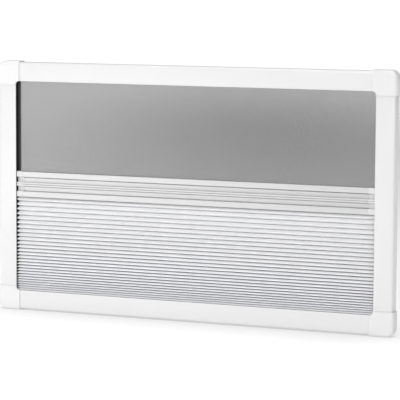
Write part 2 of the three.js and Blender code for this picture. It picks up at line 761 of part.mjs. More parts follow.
// Fly screen: a sheet from the roller through the slot down to the welt in the screen bar.
function buildScreen() {
  const half = screenThickness / 2;
  const weltRadius = weltDiameter / 2;
  const barTop = meetingHeight + seatGap / 2 + barHeight;
  const weltCentre = barTop - keyholeDepth + seatGap + weltRadius;
  const bottom = weltCentre + weltRadius + seatGap;
  const bendHeight = halfHeight + 2 * profileWall;
  const startDepth = rollerAxisDepth + windingRadius + 2 * seatGap + half;
  const outline = [
    [fabricPlane - half, bottom],
    [fabricPlane + half, bottom],
    [fabricPlane + half, bendHeight],
    [startDepth + half, rollerHeight],
    [startDepth - half, rollerHeight],
    [fabricPlane - half, bendHeight],
  ];
  const sheet = alongX(outline, -screenHalf, screenHalf);
  add('fly_screen', cut(sheet, ...screenOpenings(bottom, bendHeight)), screenThread);
  const pocketMiddle = fabricPlane - barWall / 4;
  const welt = ring2(pocketMiddle, weltCentre, weltRadius, roundSides / 2);
  add('screen_welt', alongX(welt, -barEnd, barEnd), blackPlastic);
  const slotFront = fabricPlane - slotWidth / 2;
  const shelf = halfHeight + profileWall + seatGap;
  const pileFront = slotFront - seatGap;
  const pileEnd = fabricPlane - half - seatGap;
  const brush = [
    [pileFront - brushBase, shelf],
    [pileEnd, shelf],
    [pileEnd, shelf + brushThickness],
    [pileFront, shelf + brushThickness],
    [pileFront, shelf + 2 * brushThickness],
    [pileFront - brushBase, shelf + 2 * brushThickness],
  ];
  add('slot_brush', alongX(brush, -screenHalf, screenHalf), brushPile);
}

// Pleated blind: heights of the rear folds, from the bar down to the clamp strip
function pleatHeights() {
  const heights = [blindBarBottom - seatGap];
  const visiblePleats = Math.round((halfHeight + heights[0]) / ((topPitch + sillPitch) / 2));
  const pitchStep = (topPitch - sillPitch) / (visiblePleats - 1);
  for (let pleat = 0; pleat < visiblePleats; pleat += 1) {
    heights.push(heights.at(-1) - topPitch + pitchStep * pleat);
  }
  const bottom = clampTop + seatGap + blindThickness;
  const hiddenPitch = (heights.at(-1) - bottom) / hiddenPleats;
  for (let pleat = 0; pleat < hiddenPleats; pleat += 1) {
    heights.push(heights.at(-1) - hiddenPitch);
  }
  return heights;
}

// The folded sheet's outline. Each fold has its tip on one side and its crotch on the other, set
// back far enough to leave the fabric its thickness.
function blindOutline() {
  const heights = pleatHeights();
  const tabTop = heights[0] + keyholeNeck;
  const upper = [[fabricPlane - blindThickness, tabTop], [fabricPlane - blindThickness, heights[0]]];
  const lower = [[fabricPlane, tabTop], [fabricPlane, heights[0]]];
  for (let fold = 0; fold + 1 < heights.length; fold += 1) {
    const pitch = heights[fold] - heights[fold + 1];
    const middle = heights[fold] - pitch / 2;
    const depth = Math.sqrt(panelWidth ** 2 - (pitch / 2) ** 2);
    const setBack = blindThickness * depth / (pitch / 2);
    upper.push([fabricPlane - depth, middle]);
    lower.push([fabricPlane - depth + setBack, middle]);
    upper.push([fabricPlane - setBack, heights[fold + 1]]);
    lower.push([fabricPlane, heights[fold + 1]]);
  }
  return [...upper, ...lower.reverse()];
}

function buildBlind() {
  const outline = blindOutline();
  const half = halfWidth - blindSideGap;
  const hem = pleatHeights().at(-1) + blindThickness;
  const sheet = alongX(outline, -half, half);
  const slitHalf = cordDiameter / 2 + cordGap;
  const slits = Object.values(cordPlaces).map((across) => {
    const slit = box2(across - slitHalf, across + slitHalf, hem, blindBarBottom + cutOverrun);
    return alongY(slit, 0, frameDepth);
  });
  add('pleated_blind', cut(sheet, ...slits), blindFabric);
  const strip = box2(clampFront, clampFront + clampWidth, clampBottom, clampTop);
  const holes = Object.values(cordPlaces).flatMap((across) => {
    const through = ring2(across, cordDepth, cordDiameter / 2 + cordGap, cordSides);
    const seat = ring2(across, cordDepth, anchorDiameter / 2 + seatGap, roundSides / 2);
    return [
      alongZ(through, clampBottom - cutOverrun, clampTop + cutOverrun),
      alongZ(seat, clampBottom - cutOverrun, clampBottom + anchorThickness + seatGap),
    ];
  });
  add('blind_clamp_strip', cut(alongX(strip, -half, half), ...holes), blackPlastic);
}

// Guide cords. Each runs from its button under the clamp strip up through the pleats and the bar,
// then up a side groove to the hook that lies across the slot of the top profile. The left and
// right cords leave on their own side, and the middle cord leaves on the right.
function buildCords() {
  const cordBottom = clampBottom + anchorThickness + seatGap;
  for (const [side, across] of Object.entries(cordPlaces)) {
    const outline = ring2(across, cordDepth, cordDiameter / 2, cordSides);
    add(`guide_cord_${side}`, alongZ(outline, cordBottom, blindBarBottom - seatGap), cordBraid);
    const button = ring2(across, cordDepth, anchorDiameter / 2, roundSides / 2);
    add(`cord_anchor_${side}`, alongZ(button, clampBottom, clampBottom + anchorThickness), capPlastic);
  }
  const outerRun = tube(outerRoute, cordDiameter, cordSides, cordSteps);
  add('bar_cord_left', mirrored(outerRun, true, false), cordBraid);
  add('bar_cord_middle', tube(middleRoute, cordDiameter, cordSides, cordSteps), cordBraid);
  add('bar_cord_right', outerRun, cordBraid);
  const shelf = halfHeight + profileWall + seatGap;
  const sides = { left: [-1, -sideCordShift], middle: [1, sideCordShift], right: [1, -sideCordShift] };
  for (const [side, [sign, shift]] of Object.entries(sides)) {
    const outline = ring2(sign * sideCordAcross, fabricPlane + shift, cordDiameter / 2, cordSides);
    add(`side_cord_${side}`, alongZ(outline, tongueTop + seatGap, shelf - seatGap), cordBraid);
  }
  const hookOutline = box2(fabricPlane - slotWidth / 2 - hookOverlap,
    fabricPlane + slotWidth / 2 + hookOverlap, shelf, shelf + hookThickness);
  const hook = alongX(hookOutline, sideCordAcross - hookLength / 2, sideCordAcross + hookLength / 2);
  add('cord_hook_left', mirrored(hook, true, false), capPlastic);
  add('cord_hook_right', hook, capPlastic);
}

buildProfiles();
buildCorners();
buildLiners();
buildRoller();
buildScreen();
buildBars();
buildBlind();
buildCords();

export default blind;
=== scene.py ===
import math
import random

import bmesh
import bpy
from mathutils import Matrix, Vector


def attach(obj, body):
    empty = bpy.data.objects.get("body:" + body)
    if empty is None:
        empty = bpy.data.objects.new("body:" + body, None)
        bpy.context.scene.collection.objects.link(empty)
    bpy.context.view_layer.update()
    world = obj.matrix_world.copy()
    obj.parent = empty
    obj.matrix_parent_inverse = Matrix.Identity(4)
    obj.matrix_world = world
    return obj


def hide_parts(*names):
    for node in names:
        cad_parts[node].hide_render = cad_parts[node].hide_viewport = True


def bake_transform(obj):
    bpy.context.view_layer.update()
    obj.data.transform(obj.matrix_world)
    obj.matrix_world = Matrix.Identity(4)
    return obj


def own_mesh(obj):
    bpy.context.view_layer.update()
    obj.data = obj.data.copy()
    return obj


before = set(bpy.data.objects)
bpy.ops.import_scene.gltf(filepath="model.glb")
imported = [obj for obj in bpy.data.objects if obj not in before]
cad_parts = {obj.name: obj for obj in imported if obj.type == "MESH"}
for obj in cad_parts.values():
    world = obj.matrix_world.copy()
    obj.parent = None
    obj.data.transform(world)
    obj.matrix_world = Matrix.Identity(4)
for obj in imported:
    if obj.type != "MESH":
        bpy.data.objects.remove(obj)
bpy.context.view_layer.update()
scene = bpy.context.scene
scene.view_settings.view_transform = "Standard"

# Sizes that several pieces share, in millimetres. X is across, Y into the wall, Z up.
window = {
    "halfWidth": 410.0,
    "halfHeight": 229.0,
    "frontY": -12.25,  # the front face of the profiles
    "face": 41.0,
    "fabricDepth": 16.8,  # of the fly screen and the rear folds, behind the front face
    "meeting": 4.6,  # height where the two bars meet
    "barHeight": 27.5,
    "gap": 0.3,
    "cordAcross": 335.0,  # of the outer guide cords, from the middle
    "cordDepth": 10.3,  # behind the front face
}
barBottom = window["meeting"] - window["gap"] / 2 - window["barHeight"]
cutOver = 1.0  # how far a groove cutter reaches past the faces that it enters by


# Helpers
def metres(point):
    return Vector(point) * 0.001


def toLinear(hexCode):
    parts = [int(hexCode[at:at + 2], 16) / 255 for at in (1, 3, 5)]
    return [p / 12.92 if p <= 0.04045 else ((p + 0.055) / 1.055) ** 2.4 for p in parts] + [1.0]


def addNode(tree, kind, settings=None, inputs=None):
    node = tree.nodes.new(kind)
    for key, value in (settings or {}).items():
        setattr(node, key, value)
    for key, value in (inputs or {}).items():
        if isinstance(value, bpy.types.NodeSocket):
            tree.links.new(value, node.inputs[key])
        else:
            node.inputs[key].default_value = value
    return node


# Mixes two colours by a value and feeds the shader's colour.
def varyColour(tree, shader, value, first, second):
    ramp = addNode(tree, "ShaderNodeMix", {"data_type": "RGBA"}, {
        "Factor": value, "A": toLinear(first), "B": toLinear(second)})
    tree.links.new(ramp.outputs["Result"], shader.inputs["Base Color"])


def showObject(name, data):
    obj = bpy.data.objects.new(name, data)
    scene.collection.objects.link(obj)
    return obj


# A mesh from points in millimetres. A UV map is given with one place in metres for each point.
def makeObject(name, points, faces, material=None, uvName=None, uvs=()):
    mesh = bpy.data.meshes.new(name)
    mesh.from_pydata([metres(p) for p in points], [], faces)
    if material:
        mesh.materials.append(material)
    if uvName:
        layer = mesh.uv_layers.new(name=uvName)
        for loop in mesh.loops:
            layer.data[loop.index].uv = uvs[loop.vertex_index]
    shell = bmesh.new()
    shell.from_mesh(mesh)
    bmesh.ops.remove_doubles(shell, verts=shell.verts, dist=1e-6)
    bmesh.ops.recalc_face_normals(shell, faces=shell.faces)
    shell.to_mesh(mesh)
    shell.free()
    return showObject(name, mesh)


# An object's mesh with its modifiers applied.
def bakedMesh(obj):
    graph = bpy.context.evaluated_depsgraph_get()
    return bpy.data.meshes.new_from_object(obj.evaluated_get(graph), preserve_all_data_layers=True,
                                           depsgraph=graph)


def bakeModifiers(obj):
    mesh = bakedMesh(obj)
    obj.modifiers.clear()
    obj.data = mesh


def easeEdges(obj, width, segments=2, degrees=50):
    edge = obj.modifiers.new("easedEdges", "BEVEL")
    edge.width = width * 0.001
    edge.segments = segments
    edge.limit_method = "ANGLE"
    edge.angle_limit = math.radians(degrees)


# Gives a sheet its thickness, half of it to each side.
def thicken(obj, thickness):
    wall = obj.modifiers.new("clothThickness", "SOLIDIFY")
    wall.thickness = thickness * 0.001
    wall.offset = 0


def smoothSides(obj, degrees=32):
    obj.data.polygons.foreach_set("use_smooth", [True] * len(obj.data.polygons))
    obj.data.set_sharp_from_angle(angle=math.radians(degrees))
    return obj


# A closed box between two corners.
def boxObject(name, low, high):
    corners = [(x, y, z) for x in (low[0], high[0]) for y in (low[1], high[1])
               for z in (low[2], high[2])]
    sides = [(0, 1, 3, 2), (4, 6, 7, 5), (0, 4, 5, 1), (2, 3, 7, 6), (0, 2, 6, 4), (1, 5, 7, 3)]
    return makeObject(name, corners, sides)


def cutGrooves(obj, boxes):
    cutters = [boxObject("grooveCutter", low, high) for low, high in boxes]
    for cutter in cutters:
        step = obj.modifiers.new("groove", "BOOLEAN")
        step.operation = "DIFFERENCE"
        step.solver = "EXACT"
        step.object = cutter
    bakeModifiers(obj)
    for cutter in cutters:
        bpy.data.objects.remove(cutter)


# A finished piece rides on its body and stands for its CAD nodes.
def settle(obj, body, finish, *nodes):
    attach(obj, body)
    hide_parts(*nodes)
    return obj


# A finer copy of a CAD node: its loose triangles joined into clean faces, grooves cut, edges eased.
def refine(node, material, body, finish, grooves=(), ease=0.25):
    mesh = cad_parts[node].data.copy()
    mesh.materials.clear()
    mesh.materials.append(material)
    shell = bmesh.new()
    shell.from_mesh(mesh)
    bmesh.ops.remove_doubles(shell, verts=shell.verts, dist=2e-6)
    bmesh.ops.dissolve_limit(shell, angle_limit=math.radians(1), verts=shell.verts,
                             edges=shell.edges)
    shell.to_mesh(mesh)
    shell.free()
    if mesh.has_custom_normals:
        mesh.attributes.remove(mesh.attributes["custom_normal"])
    obj = showObject(node.replace("_", "-"), mesh)
    if grooves:
        cutGrooves(obj, grooves)
    if ease:
        easeEdges(obj, ease)
        bakeModifiers(obj)
    smoothSides(obj)
    settle(obj, body, finish, node)


# A geometry tree with the given named inputs beside its geometry, and the sockets that give them.
def newTree(name, inputs):
    tree = bpy.data.node_groups.new(name, "GeometryNodeTree")
    for title, kind in {"Geometry": "Geometry", **inputs}.items():
        tree.interface.new_socket(title, in_out="INPUT", socket_type="NodeSocket" + kind)
    tree.interface.new_socket("Geometry", in_out="OUTPUT", socket_type="NodeSocketGeometry")
    return tree, addNode(tree, "NodeGroupInput").outputs


# Ends a tree: its instances are made real and get their material.
def endTree(tree, geometry, material):
    real = addNode(tree, "GeometryNodeRealizeInstances", inputs={"Geometry": geometry})
    painted = addNode(tree, "GeometryNodeSetMaterial", inputs={
        "Geometry": real.outputs["Geometry"], "Material": material})
    addNode(tree, "NodeGroupOutput", inputs={"Geometry": painted.outputs["Geometry"]})
    return tree


# Runs a tree on an object with its named inputs, and returns the result as a plain mesh object.
def grow(name, source, tree, values):
    modifier = source.modifiers.new("grow", "NODES")
    modifier.node_group = tree
    sockets = {s.name: s.identifier for s in tree.interface.items_tree if s.in_out == "INPUT"}
    for title, value in values.items():
        modifier[sockets[title]] = value
    mesh = bakedMesh(source)
    mesh.name = name
    bpy.data.objects.remove(source)
    return showObject(name, mesh)


# Camera
cameraFit = {
    "place": (1706.7, -4014.55, 465.0),
    "yaw": 22.782,
    "pitch": 6.244,
    "roll": 0.335,
    "focalPixels": 2077.8,
    "imagePixels": 400,
    "sensor": 36,
    "farthest": 400,  # metres, past the edge of the floor
}


def makeCamera():
    yaw, pitch, roll = (math.radians(cameraFit[k]) for k in ("yaw", "pitch", "roll"))
    ahead = Vector((-math.sin(yaw) * math.cos(pitch), math.cos(yaw) * math.cos(pitch),
                    -math.sin(pitch)))
    level = Vector((math.cos(yaw), math.sin(yaw), 0))
    upright = level.cross(ahead)
    right = math.cos(roll) * level + math.sin(roll) * upright
    up = -math.sin(roll) * level + math.cos(roll) * upright
    data = bpy.data.cameras.new("camera")
    data.sensor_width = cameraFit["sensor"]
    data.lens = cameraFit["focalPixels"] / cameraFit["imagePixels"] * data.sensor_width
    data.clip_end = cameraFit["farthest"]
    camera = showObject("camera", data)
    turn = Matrix((right, up, -ahead)).transposed().to_4x4()
    camera.matrix_world = Matrix.Translation(metres(cameraFit["place"])) @ turn
    scene.camera = camera


makeCamera()
print("camera made")

# Floor and light
studio = {
    "floorHeight": -272.5,
    "floorHalfSize": 120000.0,
    "floorGlow": 0.535,
    "floorPaint": "#c3c3c3",
    "contactReach": 200.0,  # how far the painted shadow under the frame spreads
    "contactDepth": 0.8,
    "sky": 0.15,
    "rearWall": 0.4,  # added to the sky at the foot of the room's rear wall
    "rearWallTop": 0.35,  # sine of the angle that its glow reaches up to
    "rearWallEdge": 0.3,  # sine of the angle, from sideways to the rear, that it starts at
    "shadePlace": (-1518.0, 4707.0, 0.0),  # of a painted shade on the floor behind the screen, a soft grey oval
    "shadeHalfSize": (1582.0, 6049.0, 1000.0),
    "shadeTurn": 24.18,
    "shadeDepth": 0.555,
}
# Square softboxes: power, side length and place.
softboxes = {
    "lowSoftbox": (5.3, 1200.0, (-900.0, -1200.0, -250.0)),
    "highSoftbox": (0.8, 600.0, (-1000.0, -900.0, 800.0)),
}
# Large distant lamps: strength, then softness, bearing right of the front and height in degrees.
distantLamps = {
    "overheadSoft": (1.8, 55, 0, 90),
    "keySoft": (1.31, 25, 12, 25),
}


def makeRoom():
    world = bpy.data.worlds.new("paleRoom")
    scene.world = world
    world.use_nodes = True
    room = world.node_tree
    ahead = addNode(room, "ShaderNodeTexCoord")
    parts = addNode(room, "ShaderNodeSeparateXYZ", inputs={"Vector": ahead.outputs["Generated"]})
    low = addNode(room, "ShaderNodeMapRange", inputs={
        "Value": parts.outputs["Z"], "From Max": studio["rearWallTop"],
        "To Min": 1.0, "To Max": 0.0})
    behind = addNode(room, "ShaderNodeMapRange", inputs={
        "Value": parts.outputs["Y"], "From Min": studio["rearWallEdge"],
        "To Max": studio["rearWall"]})
    wall = addNode(room, "ShaderNodeMath", {"operation": "MULTIPLY"}, {
        0: low.outputs["Result"], 1: behind.outputs["Result"]})
    total = addNode(room, "ShaderNodeMath", {"operation": "ADD"}, {
        0: wall.outputs["Value"], 1: studio["sky"]})
    background = room.nodes["Background"]
    background.inputs["Color"].default_value = toLinear("#ffffff")
    room.links.new(total.outputs["Value"], background.inputs["Strength"])


# The floor glows a little, so that its distance stays white. A painted shadow darkens it close
# under the frame, and a painted shade darkens it behind the screen.
def makeFloor():
    half, low = studio["floorHalfSize"], studio["floorHeight"]
    paint = bpy.data.materials.new("matt white floor paint")
    paint.use_nodes = True
    shader = paint.node_tree.nodes["Principled BSDF"]
    shader.inputs["Roughness"].default_value = 0.9
    shader.inputs["Specular IOR Level"].default_value = 0.0
    shader.inputs["Emission Strength"].default_value = studio["floorGlow"]
    tree = paint.node_tree
    # Painted shade: the grey oval darkens the floor's glow and colour behind the screen.
    place = addNode(tree, "ShaderNodeTexCoord")
    within = addNode(tree, "ShaderNodeMapping", {"vector_type": "TEXTURE"}, {
        "Vector": place.outputs["Object"], "Location": metres(studio["shadePlace"]),
        "Rotation": (0, 0, math.radians(studio["shadeTurn"])),
        "Scale": metres(studio["shadeHalfSize"])})
    reach = addNode(tree, "ShaderNodeVectorMath", {"operation": "LENGTH"}, {
        0: within.outputs["Vector"]})
    paintedShade = addNode(tree, "ShaderNodeMapRange", {"interpolation_type": "SMOOTHSTEP"}, {
        "Value": reach.outputs["Value"], "To Min": 1 - studio["shadeDepth"], "To Max": 1.0})
    tree.links.new(paintedShade.outputs["Result"], shader.inputs["Emission Color"])
    # Painted shadow: the floor's colour is darker where the frame stands close over it.
    near = addNode(tree, "ShaderNodeAmbientOcclusion", inputs={
        "Distance": studio["contactReach"] * 0.001})
    contact = addNode(tree, "ShaderNodeMapRange", inputs={
        "Value": near.outputs["AO"], "To Min": 1 - studio["contactDepth"], "To Max": 1.0})
    both = addNode(tree, "ShaderNodeMath", {"operation": "MULTIPLY"}, {
        0: paintedShade.outputs["Result"], 1: contact.outputs["Result"]})
    varyColour(tree, shader, both.outputs["Value"], "#000000", studio["floorPaint"])
    corners = [(-half, -half, low), (half, -half, low), (half, half, low), (-half, half, low)]
    floor = makeObject("floor", corners, [(0, 1, 2, 3)], paint)


def makeLamps():
    for name, (strength, softness, bearing, height) in distantLamps.items():
        data = bpy.data.lights.new(name, "SUN")
        data.energy = strength
        data.angle = math.radians(softness)
        lamp = showObject(name, data)
        lamp.rotation_euler = (math.radians(90 - height), 0, math.radians(bearing))
    for name, (power, size, place) in softboxes.items():
        data = bpy.data.lights.new(name, "AREA")
        data.shape = "SQUARE"
        data.size = size * 0.001
        data.energy = power
        softbox = showObject(name, data)
        softbox.location = metres(place)
        softbox.rotation_euler = (-softbox.location).to_track_quat("-Z", "Y").to_euler()
        softbox.visible_camera = False


makeRoom()
makeFloor()
makeLamps()
print("floor and light made")


# Materials
def newMaterial(name, colour, roughness, metallic=0.0, ior=None):
    material = bpy.data.materials.new(name)
    material.use_nodes = True
    tree = material.node_tree
    shader = tree.nodes["Principled BSDF"]
    shader.inputs["Base Color"].default_value = toLinear(colour)
    shader.inputs["Roughness"].default_value = roughness
    shader.inputs["Metallic"].default_value = metallic
    if ior:
        shader.inputs["IOR"].default_value = ior
    return material, tree, shader


# A noise in Object coordinates. Its grain is given in millimetres along X, Y and Z.
def grainNoise(tree, grain, detail=3.0):
    place = addNode(tree, "ShaderNodeTexCoord")
    mapping = addNode(tree, "ShaderNodeMapping", inputs={
        "Vector": place.outputs["Object"], "Scale": [1000 / g for g in grain]})
    return addNode(tree, "ShaderNodeTexNoise", inputs={
        "Vector": mapping.outputs["Vector"], "Scale": 1.0, "Detail": detail, "Roughness": 0.55})


# Spreads the roughness over the middle of a noise, where nearly all of its values lie.
def varyRoughness(tree, shader, noise, low, high):
    spread = addNode(tree, "ShaderNodeMapRange", inputs={
        "Value": noise.outputs["Fac"], "From Min": 0.3, "From Max": 0.7,
        "To Min": low, "To Max": high})
    tree.links.new(spread.outputs["Result"], shader.inputs["Roughness"])


def addBump(tree, shader, height, strength, distance):
    bump = addNode(tree, "ShaderNodeBump", inputs={
        "Height": height, "Strength": strength, "Distance": distance * 0.001})
    tree.links.new(bump.outputs["Normal"], shader.inputs["Normal"])


# Extruded rigid PVC, satin: faint die lines run along the length, and the gloss wanders a little.
def extrudedPvc(name, along):
    material, tree, shader = newMaterial(name, "#e6e6e6", 0.36, ior=1.53)
    lines = grainNoise(tree, [400.0 if axis == along else 0.7 for axis in "XYZ"])
    cloud = grainNoise(tree, (60.0, 60.0, 60.0))
    varyColour(tree, shader, cloud.outputs["Fac"], "#e5e5e5", "#e8e8e8")
    varyRoughness(tree, shader, cloud, 0.32, 0.42)
    addBump(tree, shader, lines.outputs["Fac"], 0.15, 0.02)
    return material


# Injection-moulded ABS or nylon with a fine spark-eroded grain of about 0.3 mm: softer sheen than
# the PVC, and on the nylon nearly matt.
def mouldedPlastic(name, colour, paler, roughness, grain=0.3, ior=1.54):
    material, tree, shader = newMaterial(name, colour, roughness, ior=ior)
    spark = grainNoise(tree, (grain, grain, grain), 2.0)
    cloud = grainNoise(tree, (35.0, 35.0, 35.0))
    varyColour(tree, shader, cloud.outputs["Fac"], colour, paler)
    varyRoughness(tree, shader, cloud, roughness - 0.05, roughness + 0.06)
    addBump(tree, shader, spark.outputs["Fac"], 0.2, 0.015)
    return material


# Silver anodised aluminium, drawn through a die: soft streaks along X in the reflection.
def anodisedAluminium():
    material, tree, shader = newMaterial(
        "silver anodised aluminium", "#d6d6d6", 0.45, metallic=0.55)
    lines = grainNoise(tree, (300.0, 0.35, 0.35), 4.0)
    varyColour(tree, shader, lines.outputs["Fac"], "#d3d3d3", "#dbdbdb")
    varyRoughness(tree, shader, lines, 0.4, 0.5)
    addBump(tree, shader, lines.outputs["Fac"], 0.12, 0.01)
    return material


# Bare metal with a plated or rolled skin, its mottle a few millimetres across.
def platedMetal(name, colour, paler, roughness):
    material, tree, shader = newMaterial(name, colour, roughness, metallic=1.0)
    mottle = grainNoise(tree, (2.5, 2.5, 2.5), 4.0)
    varyColour(tree, shader, mottle.outputs["Fac"], colour, paler)
    varyRoughness(tree, shader, mottle, roughness - 0.08, roughness + 0.12)
    return material


# The Wave texture's scale for bands a given number of millimetres apart, across or slanting.
def waveScale(apart, slanting=False):
    return 2000 * math.pi / (apart * (10 if slanting else 20))


# Threads both ways, the given number of millimetres apart: two waves in the UV map, put together.
def weaveHeight(tree, place, apart, operation, wander=0.0):
    waves = [addNode(tree, "ShaderNodeTexWave", {"wave_type": "BANDS", "bands_direction": axis}, {
        "Vector": place.outputs["UV"], "Scale": waveScale(apart), "Distortion": wander,
        "Detail Scale": 3.0}) for axis in "XY"]
    both = addNode(tree, "ShaderNodeMath", {"operation": operation}, {
        0: waves[0].outputs["Fac"], 1: waves[1].outputs["Fac"]})
    return both.outputs["Value"]


screenPitch = 1.0  # millimetres from thread to thread of the fly screen


# Glass-fibre yarn in a PVC coat, smooth and slightly glossy, its tint a little uneven.
def coatedYarn():
    material, tree, shader = newMaterial("PVC-coated glass-fibre yarn", "#606060", 0.5, ior=1.53)
    cloud = grainNoise(tree, (90.0, 90.0, 45.0), 2.0)
    varyColour(tree, shader, cloud.outputs["Fac"], "#5b5b5b", "#656565")
    return material


# The same cloth wound on its roller, where the threads of one turn fill the openings of the next.
def woundMesh():
    material, tree, shader = newMaterial(
        "PVC-coated glass-fibre mesh, wound", "#4a4947", 0.6, ior=1.53)
    place = addNode(tree, "ShaderNodeUVMap", {"uv_map": "cloth"})
    weave = weaveHeight(tree, place, screenPitch, "MAXIMUM")
    varyColour(tree, shader, weave, "#2c2b2a", "#605f5d")
    addBump(tree, shader, weave, 0.5, 0.15)
    return material


# Crimped polypropylene fibre, matt, some strands browner than others.
def brushPolypropylene():
    material, tree, shader = newMaterial("polypropylene brush fibre", "#333335", 0.8, ior=1.49)
    strands = grainNoise(tree, (0.9, 30.0, 30.0), 1.0)
    varyColour(tree, shader, strands.outputs["Fac"], "#29292b", "#424044")
    varyRoughness(tree, shader, strands, 0.7, 0.9)
    return material


# The pleated cloth, in millimetres.
pleatCloth = {
    "panel": 14.8,  # from fold to fold
    "weave": 0.7,  # 0.35 on the real cloth, and drawn coarser so that a close view shows it
    "band": (2.0, 7.5),  # width of the painted shade band along a rear fold, at the bar and at the sill
    "widens": (100.0, 750.0),  # from here to there along the cloth
}


# Stiffened polyester for pleating: a fine plain weave with a soft sheen, slightly cool white.
# Painted shade: along each rear fold the cloth is greyer, in a band that widens towards the sill,
# where the folds stand closest. Painted light: the cloth is whiter towards the sill, to make up for
# the light that the close folds there shut out.
def pleatedPolyester():
    material, tree, shader = newMaterial("stiffened polyester cloth", "#f4f4f5", 0.75, ior=1.5)
    shader.inputs["Sheen Weight"].default_value = 0.15
    shader.inputs["Sheen Roughness"].default_value = 0.4
    place = addNode(tree, "ShaderNodeUVMap", {"uv_map": "cloth"})
    weave = weaveHeight(tree, place, pleatCloth["weave"], "MULTIPLY", 0.4)
    along = addNode(tree, "ShaderNodeSeparateXYZ", inputs={"Vector": place.outputs["UV"]})
    fromFold = addNode(tree, "ShaderNodeMath", {"operation": "PINGPONG"}, {
        0: along.outputs["Y"], 1: pleatCloth["panel"] * 0.001})
    start, end = (length * 0.001 for length in pleatCloth["widens"])
    toSill = addNode(tree, "ShaderNodeMapRange", {"interpolation_type": "SMOOTHSTEP"}, {
        "Value": along.outputs["Y"], "From Min": start, "From Max": end})
    narrow, wide = (width * 0.001 for width in pleatCloth["band"])
    bandWidth = addNode(tree, "ShaderNodeMapRange", inputs={
        "Value": toSill.outputs["Result"], "To Min": narrow, "To Max": wide})
    flat = addNode(tree, "ShaderNodeMapRange", {"interpolation_type": "SMOOTHSTEP"}, {
        "Value": fromFold.outputs["Value"], "From Max": bandWidth.outputs["Result"]})
    # Painted light: the cloth is whiter towards the sill.
    cloth = addNode(tree, "ShaderNodeMix", {"data_type": "RGBA"}, {
        "Factor": toSill.outputs["Result"], "A": toLinear("#f3f3f4"), "B": toLinear("#fbfbfd")})
    # Painted shade: a grey band along each rear fold.
    paintedCreaseShade = addNode(tree, "ShaderNodeMix", {"data_type": "RGBA"}, {
        "Factor": flat.outputs["Result"], "A": toLinear("#808085"), "B": cloth.outputs["Result"]})
    tree.links.new(paintedCreaseShade.outputs["Result"], shader.inputs["Base Color"])
    addBump(tree, shader, weave, 0.25, 0.03)
    return material


# Braided polyester cord: slanting strands about 0.5 mm wide.
def braidedCord():
    material, tree, shader = newMaterial("braided polyester cord", "#efeff1", 0.7, ior=1.5)
    place = addNode(tree, "ShaderNodeUVMap", {"uv_map": "cord"})
    bands = {"wave_type": "BANDS", "bands_direction": "DIAGONAL"}
    wave = addNode(tree, "ShaderNodeTexWave", bands, {
        "Vector": place.outputs["UV"], "Scale": waveScale(0.5, slanting=True), "Distortion": 0.3})
    varyColour(tree, shader, wave.outputs["Fac"], "#e3e3e5", "#f5f5f6")
    addBump(tree, shader, wave.outputs["Fac"], 0.5, 0.06)
    return material


pvcAcross = extrudedPvc("extruded rigid PVC, across", "X")
pvcUpright = extrudedPvc("extruded rigid PVC, upright", "Z")
coverAbs = mouldedPlastic("moulded ABS, white", "#e7e7e7", "#e9e9e9", 0.38)
capAbs = mouldedPlastic("moulded ABS, silver grey", "#dadad9", "#e0e0df", 0.45)
blackNylon = mouldedPlastic("glass-filled nylon, black", "#0b0b0c", "#121213", 0.75, 0.5, 1.4)
anodised = anodisedAluminium()
zincSteel = platedMetal("zinc-plated steel", "#a9abad", "#bcbec1", 0.32)
springSteel = platedMetal("drawn spring steel", "#85878a", "#999b9e", 0.3)
millAluminium = platedMetal("mill-finish aluminium", "#b9bbbd", "#c8cacc", 0.38)
yarn = coatedYarn()
polyester = pleatedPolyester()
cordBraid = braidedCord()
woundScreen = woundMesh()
brushFibre = brushPolypropylene()
print("materials made")

# Frame
cornerNames = ("top_left", "top_right", "bottom_left", "bottom_right")
joint = {
    "coverEndAcross": 401.5,
    "coverEndUp": 220.5,
    "width": 0.7,  # the shadow gap that each cover's edge stands in
    "widthRight": 1.3,  # the same at the right end of the top and bottom profiles
    "depth": 1.0,
}


# Grooves across the face of a profile beside the two covers that lie on it.
def jointGrooves(lengthwise, end, low, high):
    front, back = window["frontY"] - cutOver, window["frontY"] + joint["depth"]
    grooves = []
    for sign in (-1, 1):
        width = joint["widthRight"] if lengthwise == "X" and sign > 0 else joint["width"]
        near, far = sorted((sign * end, sign * (end - width)))
        if lengthwise == "X":
            grooves.append(((near, front, low), (far, back, high)))
        else:
            grooves.append(((low, front, near), (high, back, far)))
    return grooves


def makeFrame():
    inHigh, inWide = window["halfHeight"] - cutOver, window["halfWidth"] - cutOver
    reach = window["face"] + 2 * cutOver
    outHigh, outWide = inHigh + reach, inWide + reach
    across, up = joint["coverEndAcross"], joint["coverEndUp"]
    profiles = {
        "top": (pvcAcross, jointGrooves("X", across, inHigh, outHigh)),
        "bottom": (pvcAcross, jointGrooves("X", across, -outHigh, -inHigh)),
        "left": (pvcUpright, jointGrooves("Z", up, -outWide, -inWide)),
        "right": (pvcUpright, jointGrooves("Z", up, inWide, outWide)),
    }
    for side, (material, grooves) in profiles.items():
        refine(side + "_profile", material, "frame", "frame_white", grooves)
    for corner in cornerNames:
        refine("corner_cover_" + corner, coverAbs, "frame", "cover_white", ease=0.4)
        refine("corner_key_" + corner, blackNylon, "frame", "black_plastic", ease=0.4)
    for side in ("left", "right"):
        refine("guide_liner_" + side, blackNylon, "frame", "black_plastic", ease=0.15)


makeFrame()
print("frame made")

# Pull bars
pullBar = {
    "halfLength": 395.0,
    "recessFloor": 10.0,
    "ridge": 12.0,
    "lip": 4.2,
    "ridgeGroove": {"screen": (2.1, 2.8), "blind": (1.2, 2.4)},  # width and depth
    "lipGroove": (1.4, 2.0),  # goes through the wall into the bar's rear chamber
}


